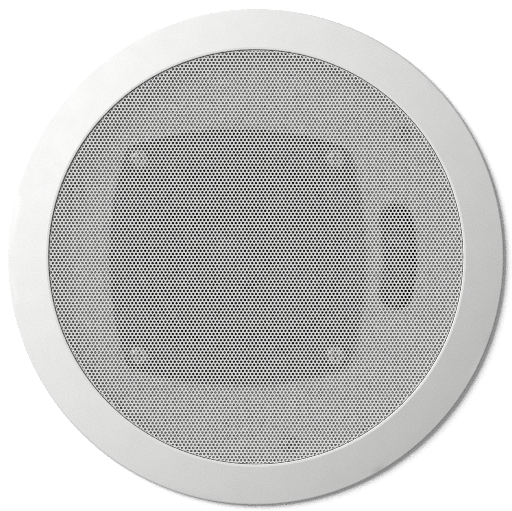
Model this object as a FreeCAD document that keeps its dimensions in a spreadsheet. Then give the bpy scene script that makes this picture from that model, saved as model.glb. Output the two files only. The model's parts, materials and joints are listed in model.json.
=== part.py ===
import FreeCAD, Part
import Sketcher
import os
import re

# Lengths are in millimetres and angles in degrees.
# Z points up into the ceiling void, the front faces down, and the back of the bezel lies at z = 0.
# The driver stands left of the centre as seen from the room, along minus X, and the port along plus X.

SIZES = {
    # Bezel and recess wall
    "bezel_radius": 100.0,
    "bezel_edge": 2.0,
    "bezel_depth": 6.5,
    "bezel_crown": 240.0,
    "bezel_wall": 2.2,
    "edge_round": 1.0,
    "lip_width": 1.0,
    "lip_round": 0.35,
    "opening_radius": 83.4,
    "seat_width": 1.5,
    "seat_depth": 2.0,
    "spigot_wall": 3.3,
    "hollow_margin": 3.0,
    "baffle_front": 6.0,
    "baffle_thickness": 3.0,
    # Perforated grille
    "grille_gap": 0.25,
    "grille_inset": 0.6,
    "grille_sheet": 0.6,
    "grille_round": 0.5,
    "grille_border": 1.2,
    "grille_hole_radius": 5.28,
    "grille_pitch": 14.85,
    "grille_row": 12.38,
    # Driver frame
    "driver_offset": 7.66,
    "frame_inset": 30.3,
    "frame_side_radius": 140.0,
    "frame_corner_radius": 4.5,
    "frame_sheet": 1.2,
    "frame_gasket": 1.0,
    "gasket_inset": 0.5,
    "cutout_clearance": 0.8,
    "rim_margin": 8.0,
    "ledge_step": 1.6,
    "ledge_width": 3.6,
    "basket_taper": 8.0,
    "spider_ledge_width": 3.5,
    "spider_depth": 21.2,
    "floor_step": 0.9,
    "floor_hole_radius": 14.4,
    "basket_depth": 28.2,
    "window_start": 9.5,
    "window_height": 13.0,
    "window_half_angle": 21.0,
    "window_count": 6,
    "screw_inset": 4.73,
    # Moving parts of the driver
    "cone_lip": 2.3,
    "cone_depth": 14.6,
    "cone_paper": 0.6,
    "coil_radius": 12.5,
    "former_wall": 0.3,
    "glue_gap": 0.05,
    "former_length": 21.0,
    "winding_wall": 0.55,
    "winding_length": 8.0,
    "cap_radius": 13.9,
    "cap_height": 5.0,
    "cap_wall": 0.5,
    "surround_sheet": 0.6,
    "surround_roll": 2.9,
    "surround_ease": 0.02,
    "surround_gap": 0.2,
    "surround_lip": 1.6,
    "spider_sheet": 0.5,
    "spider_flat": 2.4,
    "spider_wave": 0.9,
    "spider_gap": 0.3,
    # Magnet system
    "pole_radius": 12.1,
    "gap_radius": 13.9,
    "top_plate_inset": 3.0,
    "top_plate_thickness": 5.0,
    "magnet_margin": 5.6,
    "magnet_hole_radius": 16.5,
    "magnet_thickness": 15.0,
    "yoke_inset": 3.0,
    "yoke_thickness": 5.0,
    "yoke_vent_radius": 4.0,
    "yoke_chamfer": 1.0,
    # Terminal strip on the driver
    "strip_width": 17.0,
    "strip_inset": 1.9,
    "strip_length": 12.6,
    "strip_thickness": 1.5,
    "lug_spread": 5.0,
    "lug_width": 3.0,
    "lug_inset": 2.0,
    "lug_length": 14.0,
    "lug_thickness": 0.6,
    "tinsel_radius": 0.5,
    "tinsel_inset": 6.6,
    "tinsel_drop": 4.2,
    "tinsel_landing": 11.4,
    "tinsel_gap": 1.0,
    # Port
    "port_inset": 11.56,
    "port_half_angle": 12.7,
    "port_width": 13.4,
    "port_round": 2.4,
    "port_wall": 2.0,
    "port_flange": 2.0,
    "port_length": 46.0,
    # Back can
    "can_inset": 11.9,
    "can_sheet": 1.2,
    "can_gasket": 1.0,
    "can_gasket_margin": 0.6,
    "can_end": 104.0,
    "can_round": 8.0,
    "can_skirt": 5.0,
    "ear_height": 7.0,
    "ear_half_width": 6.0,
    "ear_boss_radius": 4.5,
    "ear_reach": 5.5,
    "ear_upright": 12.0,
    "weld_gap": 0.05,
    # Screws and their holes; the head's shape is in shares of its radius or height
    "head_flat": 0.55,
    "head_crown": 1.2,
    "head_side": 0.35,
    "recess_arm": 0.13,
    "recess_depth": 0.6,
    "tip_chamfer": 0.5,
    "screw_head_radius": 4.3,
    "screw_head_height": 2.4,
    "screw_radius": 1.95,
    "pilot_gap": 0.05,
    "pass_gap": 0.35,
    "frame_screw_length": 12.0,
    "can_screw_length": 8.0,
    "boss_wall": 1.8,
    "pilot_floor": 1.0,
    # Terminal block
    "block_y": 36.0,
    "block_width": 34.0,
    "block_front": 11.0,
    "block_back": 14.0,
    "block_depth": 12.0,
    "block_gap": 0.3,
    "plate_width": 52.0,
    "plate_margin": 3.0,
    "plate_thickness": 2.0,
    "plate_screw_spread": 21.5,
    "plate_screw_head_radius": 3.0,
    "plate_screw_head_height": 1.8,
    "plate_screw_radius": 1.5,
    "plate_screw_length": 7.0,
    "tab_spread": 8.0,
    "tab_width": 10.4,
    "tab_side_gap": 0.3,
    "tab_front": 6.9,
    "tab_back": 6.9,
    "tab_height": 6.0,
    "tab_proud": 2.0,
    "tab_round": 0.8,
    "slot_front": 7.5,
    "slot_back": 8.3,
    "slot_depth": 9.0,
    "pivot_y": 4.9,
    "pivot_drop": 2.5,
    "pivot_radius": 1.1,
    "pivot_gap": 0.05,
    "pivot_reach": 1.4,
    "wire_hole_y": 11.0,
    "wire_hole_radius": 1.6,
    "wire_hole_depth": 12.0,
    "contact_width": 4.0,
    "contact_sheet": 0.8,
    "contact_gap": 0.1,
    "contact_tail": 6.5,
    # Leads inside the can
    "lead_radius": 1.1,
    "lead_gap": 0.1,
    "lead_lap": 3.0,
    "lead_drop": 14.5,
    "lead_bend_height": 24.0,
    "lead_lug_inset": 1.6,
    # Ceiling clamps
    "clamp_count": 3,
    "clamp_first_angle": 80.0,
    "clamp_inset": 4.9,
    "clamp_screw_radius": 2.0,
    "clamp_head_radius": 3.5,
    "clamp_head_height": 2.4,
    "clamp_screw_top": 62.0,
    "clamp_boss_radius": 4.6,
    "clamp_boss_height": 4.0,
    "clamp_hole_gap": 0.3,
    "thread_gap": 0.05,
    "nut_radius": 3.2,
    "nut_flange_radius": 4.4,
    "nut_flange": 1.5,
    "hub_radius": 4.6,
    "hub_bottom": 44.0,
    "hub_height": 12.0,
    "hub_floor": 1.6,
    "hub_gap": 0.05,
    "leg_length": 28.0,
    "leg_half_width": 4.1,
    "leg_thickness": 5.0,
    "toe_length": 6.0,
    "toe_drop": 4.5,
    "leg_rib_half_width": 1.2,
    "leg_rib_height": 3.0,
    "leg_park_angle": 98.0,
    "retainer_radius": 4.2,
    "retainer_thickness": 1.0,
    "retainer_gap": 2.0,
    "stop_gap": 0.4,
    "stop_thickness": 2.5,
    "stop_inner": 4.4,
    "stop_outer": 6.5,
    "stop_height": 48.0,
}

DERIVED = {
    "recess_radius": "opening_radius - seat_width",
    "spigot_radius": "recess_radius + spigot_wall",
    "hollow_inner": "spigot_radius + hollow_margin",
    "hollow_outer": "bezel_radius - hollow_margin",
    "crown_radius": "opening_radius + lip_width",
    "crown_slope": "(bezel_depth - bezel_edge) / (bezel_radius - crown_radius)",
    "hollow_deep": "bezel_depth - (hollow_inner - crown_radius) * crown_slope - bezel_wall",
    "hollow_shallow": "bezel_depth - (hollow_outer - crown_radius) * crown_slope - bezel_wall",
    "baffle_back": "baffle_front + baffle_thickness",
    "grille_radius": "opening_radius - grille_gap",
    "grille_front": "grille_inset - bezel_depth",
    "frame_back": "baffle_front - frame_gasket",
    "frame_front": "frame_back - frame_sheet",
    "frame_half_width": "recess_radius - frame_inset",
    "frame_arc_shift": "frame_side_radius - frame_half_width",
    "frame_corner": "(sqrt(2 * frame_side_radius ^ 2 - frame_arc_shift ^ 2) - frame_arc_shift) / 2",
    "gasket_half_width": "frame_half_width - gasket_inset",
    "gasket_arc_shift": "frame_side_radius - gasket_half_width",
    "gasket_corner": "(sqrt(2 * frame_side_radius ^ 2 - gasket_arc_shift ^ 2) - gasket_arc_shift) / 2",
    "rim_radius": "frame_half_width - rim_margin",
    "rim_outer": "rim_radius + frame_sheet",
    "cutout_radius": "rim_outer + cutout_clearance",
    "ledge_front": "frame_front + ledge_step",
    "ledge_back": "ledge_front + frame_sheet",
    "ledge_radius": "rim_radius - ledge_width",
    "spider_seat": "frame_front + spider_depth",
    "spider_ledge_radius": "ledge_radius - basket_taper",
    "spider_ledge_inner": "spider_ledge_radius - spider_ledge_width",
    "floor_radius": "spider_ledge_inner - floor_step",
    "basket_floor": "frame_front + basket_depth",
    "screw_offset": "frame_corner - screw_inset",
    "former_radius": "coil_radius + former_wall",
    "cone_neck": "former_radius + glue_gap",
    "cone_radius": "rim_radius - surround_lip - 2 * surround_roll",
    "cone_lip_radius": "cone_radius - cone_lip",
    "neck_z": "ledge_front + cone_depth",
    "cone_slope": "cone_depth / (cone_lip_radius - cone_neck)",
    "cone_rise": "cone_paper * sqrt(1 + cone_slope ^ 2)",
    "cap_base": "neck_z - (cap_radius - cone_neck) * cone_slope - glue_gap",
    "cap_front": "cap_base - cap_height",
    "cap_curve": "(cap_radius ^ 2 + cap_height ^ 2) / (2 * cap_height)",
    "cap_inner": "cap_radius - cap_wall",
    "cap_inner_height": "cap_height - cap_wall",
    "cap_inner_curve": "(cap_inner ^ 2 + cap_inner_height ^ 2) / (2 * cap_inner_height)",
    "strip_start": "spider_ledge_inner + strip_inset",
    "magnet_radius": "strip_start + magnet_margin",
    "top_plate_radius": "magnet_radius - top_plate_inset",
    "yoke_radius": "magnet_radius - yoke_inset",
    "top_plate_back": "basket_floor + top_plate_thickness",
    "winding_start": "basket_floor + (top_plate_thickness - winding_length) / 2",
    "magnet_back": "top_plate_back + magnet_thickness",
    "yoke_back": "magnet_back + yoke_thickness",
    "roll_inner": "cone_radius",
    "roll_outer": "roll_inner + 2 * surround_roll",
    "spider_inner": "former_radius + spider_gap",
    "spider_outer": "spider_ledge_radius - spider_gap",
    "spider_step": "(spider_ledge_inner - spider_flat - 2 * spider_gap - coil_radius) / 10",
    "strip_front": "spider_seat + frame_sheet",
    "strip_back": "strip_front + strip_thickness",
    "lug_back": "strip_back + lug_thickness",
    "tinsel_start": "strip_start + tinsel_inset",
    "tinsel_end": "cone_lip_radius - tinsel_landing",
    "tinsel_end_radius": "sqrt(tinsel_end ^ 2 + lug_spread ^ 2)",
    "tinsel_cone_z": "ledge_front + (cone_lip_radius - tinsel_end_radius) * cone_slope",
    "tinsel_end_z": "tinsel_cone_z + cone_rise + tinsel_gap",
    "tinsel_run": "tinsel_start - tinsel_end",
    "tinsel_sag": "strip_front - tinsel_drop - tinsel_end_z",
    "tinsel_bend": "(tinsel_run ^ 2 + tinsel_sag ^ 2) / (2 * tinsel_run)",
    "can_radius": "recess_radius - can_inset",
    "can_rim": "baffle_back + can_gasket",
    "can_outer": "can_radius + can_sheet",
    "can_shoulder": "can_end - can_round",
    "can_seam": "can_shoulder - can_skirt",
    "port_track_radius": "can_radius + driver_offset - port_inset",
    "port_outer_width": "port_width + 2 * port_wall",
    "port_flange_width": "port_outer_width + 2 * port_flange",
    "clamp_circle": "recess_radius - clamp_inset",
    "ear_z": "baffle_back + ear_height",
    "ear_pilot_start": "baffle_front + pilot_floor",
    "ear_first_angle": "clamp_first_angle + 180 / clamp_count",
    "pilot_radius": "screw_radius + pilot_gap",
    "pass_radius": "screw_radius + pass_gap",
    "pilot_depth": "frame_screw_length - frame_sheet - frame_gasket + pilot_floor",
    "boss_top": "baffle_front + pilot_depth + pilot_floor",
    "plate_back": "can_end + plate_thickness",
    "block_inner": "can_end - block_depth",
    "tab_back_z": "plate_back + tab_proud",
    "pivot_z": "plate_back - pivot_drop",
    "contact_top": "plate_back - wire_hole_depth",
    "contact_end": "block_inner - contact_tail",
    "lead_top": "contact_end + lead_lap",
    "lead_bend_top": "lead_top - lead_drop",
    "lead_y": "block_y + wire_hole_y + contact_sheet / 2 + lead_gap + lead_radius",
    "lead_end_y": "strip_start + lug_inset + lug_length - lead_lug_inset",
    "clamp_hole_radius": "clamp_screw_radius + clamp_hole_gap",
    "hub_top": "hub_bottom + hub_height",
    "nut_top": "hub_top + nut_flange",
    "nut_bottom": "hub_bottom + hub_floor + hub_gap",
    "retainer_bottom": "nut_top + retainer_gap",
    "stop_near": "hub_radius + stop_gap",
}

doc = FreeCAD.newDocument("ceiling_speaker")
sheet = doc.addObject("Spreadsheet::Sheet", "Sizes")
for row, (name, size) in enumerate(list(SIZES.items()) + list(DERIVED.items()), start=1):
    sheet.set("A%d" % row, name)
    sheet.set("B%d" % row, "=" + size if name in DERIVED else str(size))
    sheet.setAlias("B%d" % row, name)
doc.recompute()

NAMES = set(SIZES) | set(DERIVED)
CIRCLE_NORMAL = FreeCAD.Vector(0, 0, 1)


def formula(text):
    """The text with each sheet name written as a reference to its cell."""
    return re.sub(r"[a-z]\w*", lambda word: "Sizes." + word[0] if word[0] in NAMES else word[0], str(text))


def value(text):
    """The number that a formula over the sheet gives."""
    return float(sheet.evalExpression(formula(text)))


def bind(item, **formulas):
    """Bind properties to the sheet; two underscores in a name stand for a dot."""
    for name, text in formulas.items():
        item.setExpression(name.replace("__", "."), formula(text))


def new_body(label, x="0", y="0", z="0", turn="0"):
    """An empty body with its place and its turn about Z bound to the sheet."""
    body = doc.addObject("PartDesign::Body", label)
    body.Label = label
    bind(body, Placement__Base__x=x, Placement__Base__y=y, Placement__Base__z=z)
    bind(body, Placement__Rotation__Angle=turn)
    return body


def origin_feature(body, role):
    return [item for item in body.Origin.OriginFeatures if item.Role == role][0]


def new_sketch(body, plane, lift="0", turn="0"):
    """A sketch on one of the body's own origin planes, lifted and turned along the plane's normal."""
    sketch = body.newObject("Sketcher::SketchObject", body.Name + "_sketch")
    sketch.AttachmentSupport = [(origin_feature(body, plane), "")]
    sketch.MapMode = "FlatFace"
    bind(sketch, AttachmentOffset__Base__z=lift, AttachmentOffset__Rotation__Angle=turn)
    return sketch


def constrain(sketch, text, kind, *where):
    """Add a measured constraint and bind its number to the sheet."""
    index = sketch.addConstraint(Sketcher.Constraint(kind, *where, value(text)))
    sketch.setExpression("Constraints[%d]" % index, formula(text))


def arc_between(start, end, radius):
    """The short arc from start to end; a positive radius runs counter-clockwise."""
    middle = (start + end) / 2
    chord = end - start
    reach = max(radius ** 2 - (chord.Length / 2) ** 2, 0.0) ** 0.5
    across = FreeCAD.Vector(-chord.y, chord.x, 0).normalize()
    side = 1 if radius > 0 else -1
    centre = middle + across * reach * side
    crest = centre - across * abs(radius) * side
    return Part.Arc(start, crest, end)


def draw(sketch, points, closed=True):
    """Draw a run of edges through points pinned to the sheet.

    A point is (x, y) for a straight edge to the next point, or (x, y, radius) for an arc to it,
    counter-clockwise when the radius is positive.
    """
    places = [FreeCAD.Vector(value(point[0]), value(point[1]), 0) for point in points]
    count = len(points) if closed else len(points) - 1
    edges = []
    for index in range(count):
        start = places[index]
        end = places[(index + 1) % len(places)]
        point = points[index]
        if len(point) == 3:
            radius = value(point[2])
            edge = sketch.addGeometry(arc_between(start, end, radius), False)
            text = point[2] if radius > 0 else "-(%s)" % point[2]
            edges.append((edge, (1, 2) if radius > 0 else (2, 1), text))
        else:
            edge = sketch.addGeometry(Part.LineSegment(start, end), False)
            edges.append((edge, (1, 2), None))
    for index in range(count if closed else count - 1):
        here, ends, _ = edges[index]
        there, next_ends, _ = edges[(index + 1) % count]
        sketch.addConstraint(Sketcher.Constraint("Coincident", here, ends[1], there, next_ends[0]))
    for index, (edge, ends, text) in enumerate(edges):
        constrain(sketch, points[index][0], "DistanceX", -1, 1, edge, ends[0])
        constrain(sketch, points[index][1], "DistanceY", -1, 1, edge, ends[0])
        if text:
            constrain(sketch, text, "Radius", edge)
    if not closed:
        edge, ends, _ = edges[-1]
        constrain(sketch, points[-1][0], "DistanceX", -1, 1, edge, ends[1])
        constrain(sketch, points[-1][1], "DistanceY", -1, 1, edge, ends[1])
    return sketch


def draw_circle(sketch, radius, x="0", y="0"):
    centre = FreeCAD.Vector(value(x), value(y), 0)
    circle = sketch.addGeometry(Part.Circle(centre, CIRCLE_NORMAL, value(radius)), False)
    constrain(sketch, radius, "Radius", circle)
    constrain(sketch, x, "DistanceX", -1, 1, circle, 3)
    constrain(sketch, y, "DistanceY", -1, 1, circle, 3)
    return sketch


def rectangle(left, low, right, high):
    return [(left, low), (right, low), (right, high), (left, high)]


def revolve(body, points):
    """Turn a profile of (radius, z) points about the body's Z axis."""
    sketch = draw(new_sketch(body, "XZ_Plane"), points)
    feature = body.newObject("PartDesign::Revolution", body.Name + "_turned")
    feature.Profile = sketch
    feature.ReferenceAxis = (sketch, ["V_Axis"])
    feature.Angle = 360
    return feature


def ring(body, inner, outer, low, high):
    return revolve(body, rectangle(inner, low, outer, high))


def pad(body, sketch, length):
    """Raise a sketch along plus Z."""
    feature = body.newObject("PartDesign::Pad", body.Name + "_pad")
    feature.Profile = sketch
    bind(feature, Length=length)
    return feature


def pocket(body, sketch, depth):
    """Cut from a sketch along plus Z."""
    feature = body.newObject("PartDesign::Pocket", body.Name + "_pocket")
    feature.Profile = sketch
    feature.Reversed = True
    bind(feature, Length=depth)
    return feature


def polar(body, originals, count):
    """Repeat features around the body's Z axis."""
    doc.recompute()
    feature = body.newObject("PartDesign::PolarPattern", body.Name + "_round")
    feature.Originals = originals
    feature.Axis = (origin_feature(body, "Z_Axis"), [""])
    feature.Angle = 360
    bind(feature, Occurrences=count)
    body.Tip = feature
    return feature


def round_edges(body, radius, chosen, kind="PartDesign::Fillet"):
    """Round or chamfer the edges of the body's newest feature that pass a test."""
    doc.recompute()
    feature = body.Tip
    names = ["Edge%d" % (index + 1) for index, edge in enumerate(feature.Shape.Edges) if chosen(edge)]
    rounded = body.newObject(kind, body.Name + "_edges")
    rounded.Base = (feature, names)
    bind(rounded, **{"Radius" if kind.endswith("Fillet") else "Size": radius})
    return rounded


def is_ring(edge, radius, z):
    """Whether an edge is a full circle of this radius at this height."""
    box = edge.BoundBox
    return box.ZLength < 1e-6 and abs(box.ZMin - z) < 1e-6 and abs(box.XLength / 2 - radius) < 1e-6


def is_upright(edge):
    box = edge.BoundBox
    return box.XLength < 1e-6 and box.YLength < 1e-6


def cylinder(label, radius, low, height, x="0", y="0"):
    item = doc.addObject("Part::Cylinder", label)
    bind(item, Radius=radius, Height=height)
    bind(item, Placement__Base__x=x, Placement__Base__y=y, Placement__Base__z=low)
    return item


def box(label, left, near, low, width, depth, height):
    item = doc.addObject("Part::Box", label)
    bind(item, Length=width, Width=depth, Height=height)
    bind(item, Placement__Base__x=left, Placement__Base__y=near, Placement__Base__z=low)
    return item


def cut(label, base, tool):
    item = doc.addObject("Part::Cut", label)
    item.Label = label
    item.Base = base
    item.Tool = tool
    return item


def fuse(label, shapes):
    item = doc.addObject("Part::MultiFuse", label)
    item.Label = label
    item.Shapes = shapes
    return item


def group(label, shapes):
    """Identical pieces kept apart as separate solids of one node."""
    item = doc.addObject("Part::Compound", label)
    item.Label = label
    item.Links = shapes
    return item


def kidney(label, width, low, height):
    """A bent slot with round ends on the port's track about the driver axis."""
    outer = cylinder(label + "_outer", "port_track_radius + (%s) / 2" % width, low, height, "-driver_offset")
    bind(outer, Angle="2 * port_half_angle", Placement__Rotation__Angle="-port_half_angle")
    inner = cylinder(label + "_inner", "port_track_radius - (%s) / 2" % width, low, height, "-driver_offset")
    pieces = [cut(label + "_sector", outer, inner)]
    for side in ("-", ""):
        x = "port_track_radius * cos(port_half_angle * 1 deg) - driver_offset"
        y = side + "port_track_radius * sin(port_half_angle * 1 deg)"
        pieces.append(cylinder(label + "_end", "(%s) / 2" % width, low, height, x, y))
    return fuse(label, pieces)


def screw(label, head_radius, head_height, shank_radius, length, x, y, z, from_back=False):
    """A pan-head screw with a cross recess, seated at z; its head faces the room or the void."""
    body = new_body(label, x, y, z)
    if from_back:
        over = FreeCAD.Rotation(FreeCAD.Vector(1, 0, 0), 180)
        body.Placement = FreeCAD.Placement(body.Placement.Base, over)
        bind(body, Placement__Rotation__Angle="180")
    top = "-(%s)" % head_height
    revolve(body, [
        ("0", top),
        ("head_flat * " + head_radius, top, "head_crown * " + head_height),
        (head_radius, "head_side * (%s)" % top),
        (head_radius, "0"),
        (shank_radius, "0"),
        (shank_radius, "%s - tip_chamfer * %s" % (length, shank_radius)),
        ("tip_chamfer * " + shank_radius, length),
        ("0", length),
    ])
    wide = "head_flat * " + head_radius
    thin = "recess_arm * " + head_radius
    cross = [
        (thin, thin), (thin, wide), ("-" + thin, wide), ("-" + thin, thin),
        ("-" + wide, thin), ("-" + wide, "-" + thin), ("-" + thin, "-" + thin), ("-" + thin, "-" + wide),
        (thin, "-" + wide), (thin, "-" + thin), (wide, "-" + thin), (wide, thin),
    ]
    pocket(body, draw(new_sketch(body, "XY_Plane", top), cross), "recess_depth * " + head_height)
    return body


def lead(label, radius, points, x, y, turn, plane_start):
    """A round wire swept along a path drawn in its own upright plane."""
    body = new_body(label, x, y, "0", turn)
    path = draw(new_sketch(body, "XZ_Plane"), points, closed=False)
    profile = draw_circle(new_sketch(body, "XY_Plane", plane_start), radius, points[0][0])
    wire = body.newObject("PartDesign::AdditivePipe", label + "_wire")
    wire.Profile = profile
    wire.Spine = path
    return body


def clamp_angle(number):
    return "clamp_first_angle + %d * 360 / clamp_count" % number


def around(radius, angle):
    """The x and y formulas of a point on a circle about the speaker's axis."""
    return "%s * cos((%s) * 1 deg)" % (radius, angle), "%s * sin((%s) * 1 deg)" % (radius, angle)


def make_front_baffle():
    """Bezel, recess wall, baffle plate, bosses and stop ribs in one moulding."""
    body = new_body("front_baffle_moulding")
    revolve(body, [
        ("0", "baffle_front"),
        ("recess_radius", "baffle_front"),
        ("recess_radius", "-seat_depth"),
        ("opening_radius", "-seat_depth"),
        ("opening_radius", "-bezel_depth"),
        ("crown_radius", "-bezel_depth", "bezel_crown"),
        ("bezel_radius", "-bezel_edge"),
        ("bezel_radius", "0"),
        ("hollow_outer", "0"),
        ("hollow_outer", "-hollow_shallow"),
        ("hollow_inner", "-hollow_deep"),
        ("hollow_inner", "0"),
        ("spigot_radius", "0"),
        ("spigot_radius", "baffle_back"),
        ("0", "baffle_back"),
    ])
    round_edges(body, "lip_round", lambda edge: is_ring(edge, value("opening_radius"), -value("bezel_depth")))
    round_edges(body, "edge_round", lambda edge: is_ring(edge, value("bezel_radius"), -value("bezel_edge")))

    cutout = draw_circle(new_sketch(body, "XY_Plane", "baffle_front"), "cutout_radius", "-driver_offset")
    pocket(body, cutout, "baffle_thickness")

    bosses = new_sketch(body, "XY_Plane", "baffle_back")
    pilots = new_sketch(body, "XY_Plane", "baffle_front")
    for x in ("-driver_offset - screw_offset", "screw_offset - driver_offset"):
        for y in ("-screw_offset", "screw_offset"):
            draw_circle(bosses, "pilot_radius + boss_wall", x, y)
            draw_circle(pilots, "pilot_radius", x, y)
    pad(body, bosses, "boss_top - baffle_back")
    pocket(body, pilots, "pilot_depth")

    ear_boss = new_sketch(body, "XY_Plane", "baffle_back", "ear_first_angle")
    ear_pad = pad(body, draw_circle(ear_boss, "ear_boss_radius", "clamp_circle"), "ear_height")
    ear_pilot = new_sketch(body, "XY_Plane", "ear_pilot_start", "ear_first_angle")
    ear_hole = pocket(body, draw_circle(ear_pilot, "pilot_radius", "clamp_circle"), "ear_z - ear_pilot_start")

    boss = new_sketch(body, "XY_Plane", "baffle_back", "clamp_first_angle")
    clamp_pad = pad(body, draw_circle(boss, "clamp_boss_radius", "clamp_circle"), "clamp_boss_height")
    stop = draw(new_sketch(body, "XY_Plane", "baffle_back", "clamp_first_angle"), rectangle(
        "clamp_circle - stop_inner", "stop_near", "clamp_circle + stop_outer", "stop_near + stop_thickness"))
    stop_pad = pad(body, stop, "stop_height")
    hole = new_sketch(body, "XY_Plane", "baffle_front", "clamp_first_angle")
    clamp_hole = pocket(body, draw_circle(hole, "clamp_hole_radius", "clamp_circle"),
                        "baffle_thickness + clamp_boss_height")
    polar(body, [ear_pad, ear_hole, clamp_pad, stop_pad, clamp_hole], "clamp_count")

    mouth = kidney("port_mouth", "port_width", "baffle_front", "baffle_thickness")
    opened = cut("front_baffle_opened", body, mouth)
    doc.recompute()
    track = value("port_track_radius")
    reach = value("port_width") / 2 + 0.01
    rounds = []
    for index, edge in enumerate(opened.Shape.Edges, start=1):
        centre = edge.CenterOfMass + FreeCAD.Vector(value("driver_offset"), 0, 0)
        level = edge.BoundBox.ZLength < 1e-6 and abs(edge.BoundBox.ZMin - value("baffle_front")) < 1e-6
        if level and centre.x > 0 and abs(FreeCAD.Vector(centre.x, centre.y, 0).Length - track) < reach:
            rounds.append((index, value("port_round"), value("port_round")))
    baffle = doc.addObject("Part::Fillet", "front_baffle")
    baffle.Label = "front_baffle"
    baffle.Base = opened
    baffle.Edges = rounds
    return baffle


def make_grille():
    """A perforated steel disc with a folded rim."""
    body = new_body("grille_pan")
    revolve(body, [
        ("0", "grille_front"),
        ("grille_radius", "grille_front"),
        ("grille_radius", "-seat_depth"),
        ("grille_radius - grille_sheet", "-seat_depth"),
        ("grille_radius - grille_sheet", "grille_front + grille_sheet"),
        ("0", "grille_front + grille_sheet"),
    ])
    round_edges(body, "grille_round",
                lambda edge: is_ring(edge, value("grille_radius"), value("grille_front")))
    reach = value("grille_radius - grille_sheet - grille_border - grille_hole_radius")
    pitch = value("grille_pitch")
    row = value("grille_row")
    rows = int(reach // row)
    columns = int(reach // pitch) + 1
    holes = new_sketch(body, "XY_Plane", "grille_front")
    first = None
    for line in range(-rows, rows + 1):
        for column in range(-columns, columns + 1):
            x = "(%d + %.1f) * grille_pitch" % (column, 0.5 * (line % 2))
            y = "%d * grille_row" % line
            if value(x) ** 2 + value(y) ** 2 > reach ** 2:
                continue
            centre = FreeCAD.Vector(value(x), value(y), 0)
            circle = holes.addGeometry(Part.Circle(centre, CIRCLE_NORMAL, value("grille_hole_radius")), False)
            constrain(holes, x, "DistanceX", -1, 1, circle, 3)
            constrain(holes, y, "DistanceY", -1, 1, circle, 3)
            if first is None:
                first = circle
                constrain(holes, "grille_hole_radius", "Radius", circle)
            else:
                holes.addConstraint(Sketcher.Constraint("Equal", first, circle))
    pocket(body, holes, "grille_sheet")
    body.Label = "grille"
    return body


def frame_outline(corner):
    """Four bulging sides that meet at the frame's corners."""
    low = "-" + corner
    return [
        (low, low, "frame_side_radius"),
        (corner, low, "frame_side_radius"),
        (corner, corner, "frame_side_radius"),
        (low, corner, "frame_side_radius"),
    ]


def four_screw_holes(body, level, radius, depth):
    holes = new_sketch(body, "XY_Plane", level)
    for x in ("-screw_offset", "screw_offset"):
        for y in ("-screw_offset", "screw_offset"):
            draw_circle(holes, radius, x, y)
    return pocket(body, holes, depth)


def make_driver_frame():
    """The gasket, the pressed basket and the four screws that hold it."""
    gasket = new_body("driver_gasket", "-driver_offset")
    pad(gasket, draw(new_sketch(gasket, "XY_Plane", "frame_back"), frame_outline("gasket_corner")),
        "frame_gasket")
    round_edges(gasket, "frame_corner_radius", is_upright)
    pocket(gasket, draw_circle(new_sketch(gasket, "XY_Plane", "frame_back"), "cutout_radius"), "frame_gasket")
    four_screw_holes(gasket, "frame_back", "pass_radius", "frame_gasket")

    basket = new_body("driver_basket", "-driver_offset")
    pad(basket, draw(new_sketch(basket, "XY_Plane", "frame_front"), frame_outline("frame_corner")),
        "frame_sheet")
    round_edges(basket, "frame_corner_radius", is_upright)
    pocket(basket, draw_circle(new_sketch(basket, "XY_Plane", "frame_front"), "rim_radius"), "frame_sheet")
    revolve(basket, [
        ("rim_radius", "frame_front"),
        ("rim_outer", "frame_front"),
        ("rim_outer", "ledge_back"),
        ("ledge_radius + frame_sheet", "ledge_back"),
        ("spider_ledge_radius + frame_sheet", "strip_front"),
        ("spider_ledge_inner + frame_sheet", "strip_front"),
        ("floor_radius + frame_sheet", "basket_floor"),
        ("floor_hole_radius", "basket_floor"),
        ("floor_hole_radius", "basket_floor - frame_sheet"),
        ("floor_radius", "basket_floor - frame_sheet"),
        ("spider_ledge_inner", "spider_seat"),
        ("spider_ledge_radius", "spider_seat"),
        ("ledge_radius", "ledge_front"),
        ("rim_radius", "ledge_front"),
    ])
    four_screw_holes(basket, "frame_front", "pass_radius", "frame_sheet")
    near = "spider_ledge_inner"
    far = "rim_outer + frame_sheet"
    flare = "tan(window_half_angle * 1 deg)"
    window = draw(new_sketch(basket, "XY_Plane", "window_start", "90"), [
        (near, "-%s * %s" % (near, flare)),
        (far, "-(%s) * %s" % (far, flare)),
        (far, "(%s) * %s" % (far, flare)),
        (near, "%s * %s" % (near, flare)),
    ])
    polar(basket, [pocket(basket, window, "window_height")], "window_count")

    screws = []
    for x in ("-driver_offset - screw_offset", "screw_offset - driver_offset"):
        for y in ("-screw_offset", "screw_offset"):
            label = "driver_screw_%d" % (len(screws) + 1)
            screws.append(screw(label, "screw_head_radius", "screw_head_height", "screw_radius",
                                "frame_screw_length", x, y, "frame_front"))
    return [gasket, basket, group("driver_screws", screws)]


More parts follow.
